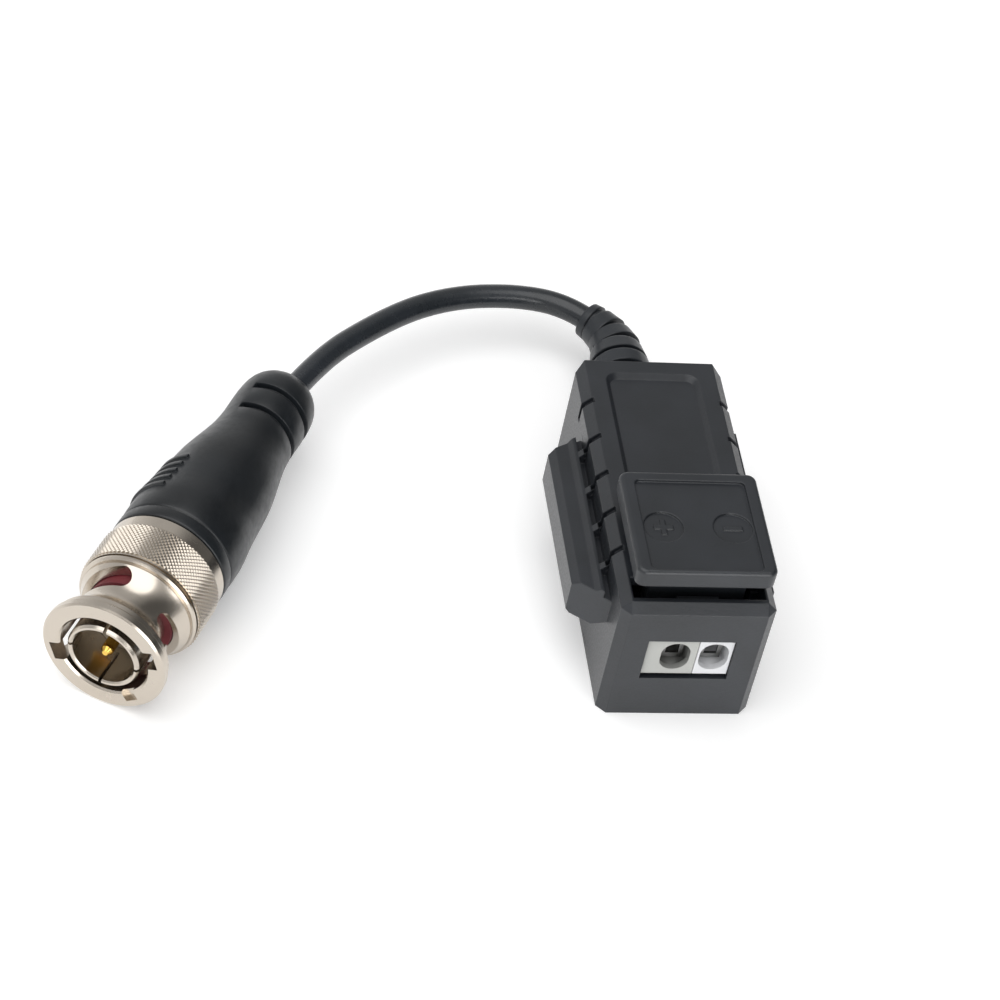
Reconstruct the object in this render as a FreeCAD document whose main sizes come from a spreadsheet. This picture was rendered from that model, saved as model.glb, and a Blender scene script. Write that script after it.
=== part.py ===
import FreeCAD
import Part
import math
import os
import Sketcher

# Video balun: a small plastic housing with push terminals for one wire pair,
# a strain relief, a short coax lead and a twist-lock coax plug.
# Origin: centre of the housing bottom. X to the right, Y to the rear, Z up.
# The terminals face -Y and the lead leaves at the +Y end. Millimetres.

doc = FreeCAD.newDocument("balun")
sheet = doc.addObject("Spreadsheet::Sheet", "dims")

# Sizes
SIZES = [
    # housing
    ("house_width", 16.5),
    ("house_length", 36.8),
    ("house_height", 16.4),
    ("side_wall", 1.2),
    ("roof_wall", 1.3),
    ("front_wall", 1.5),
    ("rear_wall", 1.5),
    ("edge_bevel", 1.0),
    ("fit_gap", 0.05),
    # grip notches along the roof edges
    ("notch_width", 0.75),
    ("notch_depth", 0.5),
    ("notch_pitch", 5.5),
    ("notch_front", -9.85),
    ("notch_floor", "=house_height - 3.2"),
    # label recess in the roof
    ("label_half", 5.3),
    ("label_front", -0.5),
    ("label_rear", 16.6),
    ("label_depth", 0.55),
    ("label_corner", 0.9),
    # roof well for the key
    ("well_half", 5.7),
    ("well_front", -15.9),
    ("well_rear", -3.4),
    ("slot_rear", -14.0),
    ("ledge_thick", 0.6),
    # front window for the terminal blocks
    ("window_half", 4.7),
    ("window_low", 5.6),
    ("window_high", 11.4),
    # stacking rail on the left, groove on the right
    ("rail_front", -14.0),
    ("rail_rear", 9.7),
    ("rail_top", "=house_height - 3"),
    ("rail_step", 0.5),
    ("rail_neck", 1.15),
    ("rail_reach", 3.8),
    ("rail_bevel", 0.75),
    ("rail_low", 8.0),
    ("rail_taper", 2.8),
    ("rail_taper_rear", 2.0),
    ("rail_under", 0.35),
    ("channel_width", 0.75),
    ("channel_depth", 0.9),
    ("gusset_width", 0.8),
    ("gusset_size", 0.8),
    ("groove_pad", 0.5),
    ("groove_depth", 1.6),
    ("groove_low", "=rail_low - 0.25"),
    ("groove_high", "=rail_top + 0.2"),
    ("groove_back", 1.0),
    # snap cover under the housing
    ("cover_thick", 1.4),
    ("tab_front", -9.3),
    ("tab_rear", -7.9),
    ("tab_height", 0.8),
    ("hook_reach", 0.6),
    ("board_low", 4.0),
    ("board_thick", 1.0),
    ("board_half", 6.4),
    ("board_front", -9.2),
    ("board_rear", 14.0),
    # key and its hinge
    ("key_half", 7.4),
    ("key_front", -17.4),
    ("key_rear", -2.9),
    ("key_low", "=house_height + 2.3"),
    ("key_thick", 2.1),
    ("key_round", 0.45),
    ("key_corner", 1.0),
    ("panel_half", 5.95),
    ("panel_front", -16.95),
    ("panel_rear", -4.2),
    ("panel_depth", 0.35),
    ("disc_x", 3.7),
    ("disc_y", -10.6),
    ("disc_radius", 2.1),
    ("disc_depth", 0.2),
    ("sign_length", 2.1),
    ("sign_width", 0.55),
    ("sign_height", 0.14),
    ("stem_half", 5.2),
    ("stem_front", -15.2),
    ("stem_rear", -3.9),
    ("stem_low", "=house_height - 3.2"),
    ("stem_wall", 1.1),
    ("pivot_y", -5.0),
    ("pivot_z", "=house_height - 2.1"),
    ("pivot_radius", 0.75),
    ("pivot_gap", 0.04),
    ("pivot_half", 6.9),
    # terminal blocks
    ("block_front", -18.12),
    ("block_rear", -9.5),
    ("block_low", 6.15),
    ("block_high", 11.35),
    ("block_half", 4.64),
    ("block_split", 0.03),
    ("block_divide", 0.9),
    ("flange_half", 5.6),
    ("flange_thick", 1.2),
    ("wire_left", -1.4),
    ("wire_right", 2.75),
    ("wire_z", 8.8),
    ("wire_wide", 3.1),
    ("wire_high", 3.9),
    ("hole_depth", 2.2),
    ("hole_round", 1.5),
    ("cavity_half", 1.55),
    ("cavity_low", 6.85),
    ("nose_wall", 0.75),
    ("bar_low", 10.15),
    ("bar_thick", 0.45),
    ("bar_half", 0.62),
    ("leg_y", -8.3),
    ("strip_thick", 0.3),
    ("strip_half", 1.15),
    ("spring_loop", 0.9),
    ("spring_toe", 0.95),
    # choke, suppressor and chip parts
    ("core_radius", 4.0),
    ("core_hole", 2.0),
    ("core_height", 3.4),
    ("core_y", 0.6),
    ("core_lift", 0.6),
    ("wire_radius", 0.18),
    # strain relief and coax
    ("relief_z", 6.2),
    ("relief_root", 4.0),
    ("relief_mid", 3.5),
    ("relief_late", 2.65),
    ("relief_tip", 2.1),
    ("relief_hole", 3.0),
    ("rib_pitch", 2.5),
    ("rib_length", 1.9),
    ("coax_radius", 1.4),
    ("coax_gap", 0.05),
    ("bend_y", 33.34),
    ("bend_angle", 43.0),
    ("bend_run", 7.0),
    # plug place and turned sizes
    ("plug_x", -60.47),
    ("plug_y", -17.27),
    ("plug_angle", 28.82),
    ("rim_radius", 6.9),
    ("rim_face", -0.25),
    ("rim_length", 0.6),
    ("neck_radius", 5.2),
    ("neck_centre", 4.0),
    ("front_round", 4.95),
    ("rear_round", 2.99),
    ("skirt_radius", 6.55),
    ("grip_radius", 6.76),
    ("grip_start", 7.9),
    ("grip_end", 12.7),
    ("band_radius", 6.65),
    ("sleeve_length", 14.35),
    ("bore_radius", 4.9),
    ("bay_radius", 5.5),
    ("bay_start", 7.05),
    ("lug_width", 2.2),
    ("lug_depth", 1.15),
    ("lug_angle", 68.0),
    ("spiral_angle", 56.0),
    ("spiral_width", 2.1),
    ("spiral_sweep", 110.0),
    ("spiral_start", 4.4),
    ("spiral_end", 5.85),
    ("ferrule_radius", 4.05),
    ("ferrule_wall", 0.6),
    ("ferrule_front", -0.4),
    ("gasket_start", 5.6),
    ("gasket_seat", 0.1),
    ("slit_width", 0.35),
    ("slit_end", 3.8),
    ("collar_radius", 5.25),
    ("collar_start", 7.35),
    ("collar_end", 9.1),
    ("shank_radius", 3.6),
    ("shank_end", 19.0),
    ("stem_radius", 1.7),
    ("stem_end", 30.0),
    ("pin_radius", 0.675),
    ("pin_back", 0.9),
    ("pin_front", 0.2),
    ("insulator_radius", 2.4),
    ("insulator_front", 4.5),
    ("insulator_end", 14.0),
    ("washer_outer", 5.35),
    ("washer_inner", 3.8),
    ("sleeve_travel", 0.9),
    ("boot_front", 14.45),
    ("boot_end", 45.0),
    ("mark_angle", 142.0),
    ("mark_width", 1.5),
    ("mark_depth", 0.55),
    ("crimp_radius", 2.4),
    ("crimp_start", 20.0),
    ("crimp_end", 36.5),
]


# A number that remembers the sheet formula it came from
class Size:
    def __init__(self, value, text):
        self.value = float(value)
        self.text = text

    def __add__(self, other):
        other = as_size(other)
        return Size(self.value + other.value, "(%s + %s)" % (self.text, other.text))

    def __radd__(self, other):
        return as_size(other) + self

    def __sub__(self, other):
        other = as_size(other)
        return Size(self.value - other.value, "(%s - %s)" % (self.text, other.text))

    def __rsub__(self, other):
        return as_size(other) - self

    def __mul__(self, other):
        other = as_size(other)
        return Size(self.value * other.value, "(%s * %s)" % (self.text, other.text))

    def __rmul__(self, other):
        return as_size(other) * self

    def __truediv__(self, other):
        other = as_size(other)
        return Size(self.value / other.value, "(%s / %s)" % (self.text, other.text))

    def __neg__(self):
        return as_size(0) - self


def as_size(number):
    if isinstance(number, Size):
        return number
    return Size(number, "(%.6f)" % float(number))


def num(number):
    return as_size(number).value


class Dims:
    pass


d = Dims()
for row, (alias, amount) in enumerate(SIZES, start=1):
    sheet.set("A%d" % row, alias)
    sheet.set("B%d" % row, str(amount))
    sheet.setAlias("B%d" % row, alias)
doc.recompute()
for alias, amount in SIZES:
    setattr(d, alias, Size(sheet.get(alias), "dims." + alias))

ZERO = Size(0.0, "0")
X_AXIS = FreeCAD.Vector(1, 0, 0)
Y_AXIS = FreeCAD.Vector(0, 1, 0)
Z_AXIS = FreeCAD.Vector(0, 0, 1)
TO_X = FreeCAD.Rotation(Z_AXIS, X_AXIS)
TO_Y = FreeCAD.Rotation(X_AXIS, -90)


def vector(x, y, z):
    return FreeCAD.Vector(num(x), num(y), num(z))


def bind(item, prop, size):
    if isinstance(size, Size):
        item.setExpression(prop, size.text)
    else:
        setattr(item, prop, size)


def place(item, at, turn=None):
    item.Placement = FreeCAD.Placement(vector(*at), turn or FreeCAD.Rotation())
    for letter, size in zip("xyz", at):
        if isinstance(size, Size):
            item.setExpression("Placement.Base." + letter, size.text)


# Primitive shapes
def box(label, x, y, z):
    item = doc.addObject("Part::Box", label)
    for prop, (low, high) in zip(("Length", "Width", "Height"), (x, y, z)):
        bind(item, prop, as_size(high) - low)
    place(item, (x[0], y[0], z[0]))
    return item


def cylinder(label, radius, at, height, turn=None):
    item = doc.addObject("Part::Cylinder", label)
    bind(item, "Radius", as_size(radius))
    bind(item, "Height", as_size(height))
    place(item, at, turn)
    return item


def cone(label, radius, end_radius, at, height, turn=None):
    item = doc.addObject("Part::Cone", label)
    bind(item, "Radius1", as_size(radius))
    bind(item, "Radius2", as_size(end_radius))
    bind(item, "Height", as_size(height))
    place(item, at, turn)
    return item


def free_shape(label, shape):
    item = doc.addObject("Part::Feature", label)
    item.Shape = shape
    return item


# Booleans
def fuse(label, *items):
    item = doc.addObject("Part::MultiFuse", label)
    item.Shapes = list(items)
    item.Refine = True
    return item


def cut(label, base, *tools):
    tool = tools[0]
    if len(tools) > 1:
        tool = fuse(label + "_cutters", *tools)
    item = doc.addObject("Part::Cut", label)
    item.Base = base
    item.Tool = tool
    item.Refine = True
    return item


# Sketched bodies
def new_sketch(body, role, offset):
    sketch = body.newObject("Sketcher::SketchObject", body.Label + "_sketch")
    planes = [item for item in body.Origin.OriginFeatures if item.Role == role]
    sketch.AttachmentSupport = [(planes[0], "")]
    sketch.MapMode = "FlatFace"
    shift = as_size(offset)
    sketch.AttachmentOffset = FreeCAD.Placement(vector(0, 0, shift), FreeCAD.Rotation())
    if isinstance(offset, Size):
        sketch.setExpression("AttachmentOffset.Base.z", shift.text)
    return sketch


def pin_point(sketch, kind, index, size):
    if abs(num(size)) < 1e-9:
        sketch.addConstraint(
            Sketcher.Constraint("PointOnObject", index, 1, -2 if kind == "DistanceX" else -1)
        )
        return
    number = sketch.addConstraint(Sketcher.Constraint(kind, -1, 1, index, 1, num(size)))
    if isinstance(size, Size):
        sketch.setExpression("Constraints[%d]" % number, size.text)


def outline(sketch, points):
    count = len(points)
    for index in range(count):
        start = points[index]
        end = points[(index + 1) % count]
        line = Part.LineSegment(vector(start[0], start[1], 0), vector(end[0], end[1], 0))
        sketch.addGeometry(line, False)
    for index in range(count):
        sketch.addConstraint(Sketcher.Constraint("Coincident", index, 2, (index + 1) % count, 1))
    for index, (across, up) in enumerate(points):
        pin_point(sketch, "DistanceX", index, across)
        pin_point(sketch, "DistanceY", index, up)


def prism(label, along, points, low, high):
    body = doc.addObject("PartDesign::Body", label)
    role = {"x": "YZ_Plane", "y": "XZ_Plane", "z": "XY_Plane"}[along]
    offset = -as_size(high) if along == "y" else low
    sketch = new_sketch(body, role, offset)
    outline(sketch, points)
    pad = body.newObject("PartDesign::Pad", label + "_pad")
    pad.Profile = sketch
    bind(pad, "Length", as_size(high) - low)
    sketch.Visibility = False
    return body


def turned(label, points):
    body = doc.addObject("PartDesign::Body", label)
    sketch = new_sketch(body, "XZ_Plane", 0.0)
    outline(sketch, points)
    spin = body.newObject("PartDesign::Revolution", label + "_spin")
    spin.Profile = sketch
    spin.ReferenceAxis = (sketch, ["V_Axis"])
    spin.Angle = 360.0
    return body


def rectangle(low, high):
    return [(low[0], low[1]), (high[0], low[1]), (high[0], high[1]), (low[0], high[1])]


def edge_names(shape, wanted):
    return ["Edge%d" % (i + 1) for i, edge in enumerate(shape.Edges) if wanted(edge)]


def dress(body, kind, size, wanted):
    doc.recompute()
    base = body.Tip
    item = body.newObject("PartDesign::" + kind, body.Label + "_" + kind.lower())
    item.Base = (base, edge_names(base.Shape, wanted))
    bind(item, "Radius" if kind == "Fillet" else "Size", size)
    body.Tip = item
    doc.recompute()
    return item


def pocket(body, role, offset, points, depth, reverse=False):
    sketch = new_sketch(body, role, offset)
    outline(sketch, points)
    item = body.newObject("PartDesign::Pocket", body.Label + "_pocket")
    item.Profile = sketch
    bind(item, "Length", depth)
    item.Reversed = reverse
    sketch.Visibility = False
    body.Tip = item
    return item


def soften(label, item, size, wanted, kind="Part::Fillet"):
    doc.recompute()
    rounded = doc.addObject(kind, label)
    rounded.Base = item
    picked = []
    for index, edge in enumerate(item.Shape.Edges):
        if wanted(edge):
            picked.append((index + 1, num(size), num(size)))
    rounded.Edges = picked
    return rounded


def is_along(edge, axis):
    box_of = edge.BoundBox
    spans = [box_of.XLength, box_of.YLength, box_of.ZLength]
    others = [span for i, span in enumerate(spans) if i != axis]
    return spans[axis] > 0.05 and max(others) < 1e-4


def near(value, target):
    return abs(value - num(target)) < 1e-3


# Housing shell: outer block with bevelled edges
half_width = d.house_width / 2
half_length = d.house_length / 2
wall_x = half_width - d.side_wall
inner_front = d.front_wall - half_length
inner_rear = half_length - d.rear_wall
roof_under = d.house_height - d.roof_wall

shell = doc.addObject("PartDesign::Body", "shell_block")
shell_sketch = new_sketch(shell, "XY_Plane", 0.0)
outline(shell_sketch, rectangle((-half_width, -half_length), (half_width, half_length)))
shell_pad = shell.newObject("PartDesign::Pad", "shell_pad")
shell_pad.Profile = shell_sketch
bind(shell_pad, "Length", d.house_height)


def outer_edge(edge):
    rear_roof_edge = near(edge.BoundBox.YMin, half_length) and is_along(edge, 0)
    return is_along(edge, 2) or (near(edge.BoundBox.ZMin, d.house_height) and not rear_roof_edge)


dress(shell, "Chamfer", d.edge_bevel, outer_edge)

# label recess with sloped sides
label_floor = d.label_half - d.label_depth
recess = pocket(
    shell, "XY_Plane", d.house_height,
    rectangle((-label_floor, d.label_front + d.label_depth),
              (label_floor, d.label_rear - d.label_depth)),
    d.label_depth,
)


def recess_corner(edge):
    box_of = edge.BoundBox
    return (is_along(edge, 2) and near(box_of.ZMax, d.house_height)
            and abs(box_of.Center.x) < num(label_floor) + 0.01)


def recess_rim(edge):
    box_of = edge.BoundBox
    inside = max(abs(box_of.XMin), abs(box_of.XMax)) < num(label_floor) + 0.01
    return (near(box_of.ZMin, d.house_height) and near(box_of.ZMax, d.house_height)
            and inside and box_of.YMax < num(d.label_rear) - 0.3)


dress(shell, "Fillet", d.label_corner, recess_corner)
dress(shell, "Chamfer", d.label_depth - 0.02, recess_rim)

# hollow inside, open below
pocket(shell, "XY_Plane", roof_under, rectangle((-wall_x, inner_front), (wall_x, inner_rear)),
       roof_under)
# roof well under the key
pocket(shell, "XY_Plane", d.house_height + 0.1,
       rectangle((-d.well_half, d.well_front), (d.well_half, d.well_rear)),
       d.roof_wall + 0.2)
# open slot in front of the key's stem, as wide as the inside
pocket(shell, "XY_Plane", d.house_height + 0.1,
       rectangle((-wall_x, inner_front), (wall_x, d.slot_rear)),
       d.roof_wall + 0.2)
# front window for the terminal blocks
pocket(shell, "XZ_Plane", half_length + 0.1,
       rectangle((-d.window_half, d.window_low), (d.window_half, d.window_high)),
       d.front_wall + 0.2)

# grip notches, five on each side, bevel deep
notch_wall = half_width - d.notch_depth
bevel_sum = half_width + d.house_height - d.edge_bevel
notch_bevel = bevel_sum - d.notch_depth * 1.4142
notch_points = [
    (half_width + 0.3, d.notch_floor),
    (notch_wall, d.notch_floor),
    (notch_wall, notch_bevel - notch_wall),
    (notch_bevel - (d.house_height - d.notch_depth), d.house_height - d.notch_depth),
    (notch_bevel - (d.house_height - d.notch_depth), d.house_height + 0.3),
    (half_width + 0.3, d.house_height + 0.3),
]
shell_cutters = []
for index in range(5):
    start = d.notch_front + d.notch_pitch * index - d.notch_width / 2
    right_notch = prism("notch_right", "y", notch_points, start, start + d.notch_width)
    left_notch = prism("notch_left", "y", [(-as_size(u), v) for u, v in notch_points],
                       start, start + d.notch_width)
    shell_cutters += [right_notch, left_notch]

# latch openings for the cover tabs and the rear hook slot
for side in (-1, 1):
    if side < 0:
        span = (-half_width - 0.2, -wall_x + 0.2)
    else:
        span = (wall_x - 0.2, half_width + 0.2)
    shell_cutters.append(box("latch_opening", span, (d.tab_front, d.tab_rear),
                             (-0.2, d.tab_height)))
shell_cutters.append(box("hook_slot", (-3.0, 3.0),
                         (inner_rear - 0.2, inner_rear + d.hook_reach + d.fit_gap),
                         (-0.2, d.tab_height + 0.2)))
shell_cutters.append(cylinder("relief_opening", d.relief_hole + d.fit_gap,
                              (0.0, inner_rear - 0.5, d.relief_z), d.rear_wall + 1.0, TO_Y))

# stacking rail on the left side
rail_x = -half_width
rail_points = [
    (rail_x + 0.4, d.rail_top),
    (rail_x - d.rail_neck, d.rail_top),
    (rail_x - d.rail_neck - d.rail_step, d.rail_top - d.rail_step),
    (rail_x - d.rail_reach + d.rail_bevel, d.rail_top - d.rail_step),
    (rail_x - d.rail_reach, d.rail_top - d.rail_step - d.rail_bevel),
    (rail_x - d.rail_reach, d.rail_low + d.rail_under),
    (rail_x - d.rail_reach + d.rail_under, d.rail_low),
    (rail_x - 1.35, d.rail_low),
    (rail_x, d.rail_low + 1.35),
    (rail_x + 0.4, d.rail_low + 1.35),
]
rail_bar = prism("rail_bar", "y", rail_points, d.rail_front, d.rail_rear)
taper_slope = d.rail_taper / d.rail_reach
rear_slope = d.rail_taper_rear / d.rail_reach
front_taper = prism(
    "rail_front_taper", "z",
    [(rail_x + 0.02, d.rail_front - 0.01), (rail_x - d.rail_reach - 0.5,
     d.rail_front + d.rail_taper + taper_slope * 0.5),
     (rail_x - d.rail_reach - 0.5, d.rail_front - 0.5), (rail_x + 0.02, d.rail_front - 0.5)],
    d.rail_low - 0.5, d.rail_top + 0.5,
)
rear_taper = prism(
    "rail_rear_taper", "z",
    [(rail_x + 0.02, d.rail_rear + 0.01), (rail_x + 0.02, d.rail_rear + 0.5),
     (rail_x - d.rail_reach - 0.5, d.rail_rear + 0.5),
     (rail_x - d.rail_reach - 0.5, d.rail_rear - d.rail_taper_rear - rear_slope * 0.5)],
    d.rail_low - 0.5, d.rail_top + 0.5,
)
channel = box("rail_channel", (rail_x - d.channel_width, rail_x - 0.02),
              (d.rail_front - 0.2, d.rail_rear + 0.2),
              (d.rail_top - d.channel_depth, d.rail_top + 0.3))
rail = cut("rail", rail_bar, front_taper, rear_taper, channel)
shell_extras = [rail]
for index in range(4):
    middle = d.notch_front + d.notch_pitch * index
    shell_extras.append(prism(
        "gusset", "y",
        [(rail_x + 0.3, d.rail_top - d.channel_depth - 0.1),
         (rail_x - d.gusset_size, d.rail_top - d.channel_depth - 0.1),
         (rail_x - d.gusset_size, d.rail_top), (rail_x, d.rail_top + d.gusset_size),
         (rail_x + 0.3, d.rail_top + d.gusset_size)],
        middle - d.gusset_width / 2, middle + d.gusset_width / 2,
    ))

# mating groove on the right side
groove_face = half_width + d.groove_pad
groove_floor = groove_face - d.groove_depth
pad_block = box("groove_pad_block", (groove_floor - d.groove_back, groove_face),
                (d.rail_front - 0.2, d.rail_rear - 0.4),
                (d.groove_low - 1.2, d.groove_high + 1.0))
groove = prism(
    "groove", "y",
    [(groove_face + 0.2, d.groove_low + 1.0), (groove_floor + 0.3, d.groove_low),
     (groove_floor, d.groove_low), (groove_floor, d.groove_high),
     (groove_face + 0.2, d.groove_high)],
    d.rail_front - 1.0, d.rail_rear - 2.0,
)

# hinge brackets under the roof
for side in (-1, 1):
    if side < 0:
        span = (-wall_x - 0.3, -d.well_half)
    else:
        span = (d.well_half, wall_x + 0.3)
    shell_extras.append(box("hinge_bracket", span, (d.pivot_y - 1.8, d.pivot_y + 1.6),
                            (d.pivot_z - 1.7, roof_under + 0.2)))
shell_extras.append(pad_block)
# ledge over the key's stop lug
shell_extras.append(box("stop_ledge", (-2.2, 2.2), (inner_front - 0.2, d.well_front),
                        (roof_under, roof_under + d.ledge_thick)))
hinge_bore = cylinder("hinge_bore", d.pivot_radius + 0.01,
                      (-d.pivot_half - d.fit_gap, d.pivot_y, d.pivot_z),
                      d.pivot_half * 2 + d.fit_gap * 2, TO_X)
shell_sum = fuse("shell_sum", shell, *shell_extras)
housing_shell = cut("housing_shell", shell_sum, groove, hinge_bore, *shell_cutters)

# Snap cover with posts for the board and a pedestal for the terminals
cover_half = wall_x - d.fit_gap
cover_front = inner_front + d.fit_gap
cover_rear = inner_rear - d.fit_gap
board_top = d.board_low + d.board_thick
cover_parts = [
    box("cover_plate", (-cover_half, cover_half), (cover_front, cover_rear), (0.0, d.cover_thick)),
    box("cover_tabs", (-half_width, half_width),
        (d.tab_front + d.fit_gap, d.tab_rear - d.fit_gap), (0.0, d.tab_height - d.fit_gap)),
    box("cover_hook", (-2.9, 2.9), (cover_rear - 1.0, inner_rear + d.hook_reach),
        (0.0, d.tab_height)),
    box("pedestal", (-d.block_half + 0.04, d.block_half - 0.04),
        (inner_front + 0.5, d.block_rear),
        (d.cover_thick - 0.2, d.block_low - d.fit_gap)),
]
for side in (-1, 1):
    for along in (-6.6, 11.4):
        low = side * 5.2 - 0.9
        cover_parts.append(box("board_post", (low, low + 1.8), (along - 0.9, along + 0.9),
                               (d.cover_thick - 0.2, d.board_low - 0.02)))
        cover_parts.append(cylinder("board_peg", 0.5, (side * 5.2, along, d.board_low - 0.3),
                                    d.board_thick + 0.7))
cover_sum = fuse("cover_sum", *cover_parts)
bottom_cover = cut("bottom_cover", cover_sum,
                   box("pedestal_hollow", (-3.5, 3.5), (-15.3, d.block_rear - 1.1),
                       (d.cover_thick, d.block_low + 1.0)))

# Key: plate, sunk panel, two discs with signs, stem and hinge barrel
key_top = d.key_low + d.key_thick
plate_block = prism("key_plate_block", "z",
                    rectangle((-d.key_half, d.key_front), (d.key_half, d.key_rear)),
                    d.key_low, key_top)
dress(plate_block, "Fillet", d.key_corner, lambda edge: is_along(edge, 2))
dress(plate_block, "Fillet", d.key_round,
      lambda edge: near(edge.BoundBox.ZMin, key_top) and near(edge.BoundBox.ZMax, key_top))
panel = prism("key_panel", "z",
              rectangle((-d.panel_half, d.panel_front), (d.panel_half, d.panel_rear)),
              key_top - d.panel_depth, key_top + 0.3)
dress(panel, "Fillet", 0.6, lambda edge: is_along(edge, 2))
panel_z = key_top - d.panel_depth
disc_z = panel_z - d.disc_depth
key_cutters = [panel]
signs = []
for side in (-1, 1):
    middle = d.disc_x * side
    key_cutters.append(cylinder("disc", d.disc_radius, (middle, d.disc_y, disc_z), 1.0))
    signs.append(box("sign_bar", (middle - d.sign_length / 2, middle + d.sign_length / 2),
                     (d.disc_y - d.sign_width / 2, d.disc_y + d.sign_width / 2),
                     (disc_z - 0.1, disc_z + d.sign_height)))
signs.append(box("sign_cross",
                 (-d.disc_x - d.sign_width / 2, -d.disc_x + d.sign_width / 2),
                 (d.disc_y - d.sign_length / 2, d.disc_y + d.sign_length / 2),
                 (disc_z - 0.1, disc_z + d.sign_height)))
key_plate = cut("key_plate", plate_block, *key_cutters)
stem_block = box("key_stem_block", (-d.stem_half, d.stem_half), (d.stem_front, d.stem_rear),
                 (d.stem_low, d.key_low + 0.2))
stop_lug = box("key_stop_lug", (-2.0, 2.0), (d.stem_front - 1.2, d.stem_front + 0.2),
               (d.stem_low + 0.4, roof_under - 0.35))
key_sum = fuse("key_sum", key_plate, stem_block, stop_lug, *signs)
key_hollow = box("key_hollow", (-d.stem_half + d.stem_wall, d.stem_half - d.stem_wall),
                 (d.stem_front + d.stem_wall, d.pivot_y - 1.5),
                 (d.stem_low - 0.2, d.key_low - 0.6))
key_bore = cylinder("key_bore", d.pivot_radius + d.pivot_gap,
                    (-d.stem_half - 0.5, d.pivot_y, d.pivot_z), d.stem_half * 2 + 1.0, TO_X)
press_key = cut("press_key", key_sum, key_hollow, key_bore)

key_pivot_pin = cylinder("key_pivot_pin", d.pivot_radius,
                         (-d.pivot_half, d.pivot_y, d.pivot_z), d.pivot_half * 2, TO_X)

# Terminal blocks, contact bars and clamp springs, one set per wire
flange_front = inner_front + d.fit_gap
bar_top = d.bar_low + d.bar_thick


def strip_shape(points, thick, low, high):
    left = []
    right = []
    count = len(points)
    for index in range(count):
        here = FreeCAD.Vector(0, points[index][0], points[index][1])
        back = FreeCAD.Vector(0, *points[max(index - 1, 0)])
        ahead = FreeCAD.Vector(0, *points[min(index + 1, count - 1)])
        first = (here - back) if index > 0 else (ahead - here)
        second = (ahead - here) if index < count - 1 else (here - back)
        first.normalize()
        second.normalize()
        one = FreeCAD.Vector(0, -first.z, first.y)
        two = FreeCAD.Vector(0, -second.z, second.y)
        mitre = one + two
        mitre.normalize()
        reach = thick / 2.0 / mitre.dot(one)
        left.append(here + mitre * reach)
        right.append(here - mitre * reach)
    corners = left + right[::-1]
    corners = [FreeCAD.Vector(low, corner.y, corner.z) for corner in corners]
    face = Part.Face(Part.makePolygon(corners + [corners[0]]))
    return face.extrude(FreeCAD.Vector(high - low, 0, 0))


def arc_points(centre, radius, start, end, steps):
    found = []
    for step in range(steps + 1):
        angle = math.radians(start + (end - start) * step / steps)
        found.append((centre[0] + radius * math.cos(angle), centre[1] + radius * math.sin(angle)))
    return found


spring_base = num(bar_top) + num(d.strip_thick) / 2 + 0.02
loop = num(d.spring_loop)
toe = num(d.spring_toe)
toe_y = num(inner_front) + 0.3
spring_line = [(num(inner_front) + 1.6, spring_base)]
spring_line += arc_points((num(d.block_rear) - 2.4, spring_base + loop), loop, -90.0, 90.0, 9)
spring_line += [(toe_y + toe + 1.0, spring_base + toe + 1.0)]
spring_line += arc_points((toe_y + toe, spring_base + toe), toe, 82.0, 180.0, 5)
spring_line += [(toe_y, num(d.cavity_low) + 0.4)]

terminal_nodes = []
for side, name in ((-1, "left"), (1, "right")):
    middle = d.wire_left if side < 0 else d.wire_right
    if side < 0:
        nose_x = (-d.block_half, d.block_divide - d.block_split)
        flange_x = (-d.flange_half, d.block_divide - d.block_split)
    else:
        nose_x = (d.block_divide + d.block_split, d.block_half)
        flange_x = (d.block_divide + d.block_split, d.flange_half)
    nose = box("block_nose", nose_x, (d.block_front, d.block_rear), (d.block_low, d.block_high))
    flange = box("block_flange", flange_x, (flange_front, flange_front + d.flange_thick),
                 (d.block_low, d.block_high))
    cavity = box("block_cavity", (middle - d.cavity_half, middle + d.cavity_half),
                 (d.block_front + d.nose_wall, d.block_rear - 0.8), (d.cavity_low, 12.0))
    wire_hole = prism("wire_hole", "y",
                      rectangle((middle - d.wire_wide / 2, d.wire_z - d.wire_high / 2),
                                (middle + d.wire_wide / 2, d.wire_z + d.wire_high / 2)),
                      d.block_front - 0.3, d.block_front + d.hole_depth)
    dress(wire_hole, "Fillet", d.hole_round, lambda edge: is_along(edge, 1))
    bar_slot = box("bar_slot", (middle - d.bar_half - 0.1, middle + d.bar_half + 0.1),
                   (d.block_rear - 1.0, d.block_rear + 0.2), (d.bar_low - 0.05, 12.0))
    block_sum = fuse("block_sum_" + name, nose, flange)
    terminal_nodes.append(cut("terminal_insert_" + name, block_sum, cavity, wire_hole, bar_slot))

    bar = box("bar", (middle - d.bar_half, middle + d.bar_half),
              (inner_front - 0.2, d.leg_y), (d.bar_low, bar_top))
    leg = box("bar_leg", (middle - d.bar_half, middle + d.bar_half),
              (d.leg_y - d.bar_thick, d.leg_y), (board_top + 0.02, d.bar_low + 0.1))
    tail = box("bar_tail", (middle - 0.35, middle + 0.35),
               (d.leg_y - d.bar_thick, d.leg_y), (d.board_low - 0.6, board_top + 0.1))
    terminal_nodes.append(fuse("contact_" + name, bar, leg, tail))

    spring = free_shape("spring_strip_" + name,
                        strip_shape(spring_line, num(d.strip_thick),
                                    num(middle - d.strip_half), num(middle + d.strip_half)))
    window = box("spring_window", (middle - d.bar_half - 0.08, middle + d.bar_half + 0.08),
                 (inner_front - 0.3, inner_front + 0.9), (d.cavity_low + 1.0, bar_top + 0.5))
    terminal_nodes.append(cut("clamp_spring_" + name, spring, window))

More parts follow.
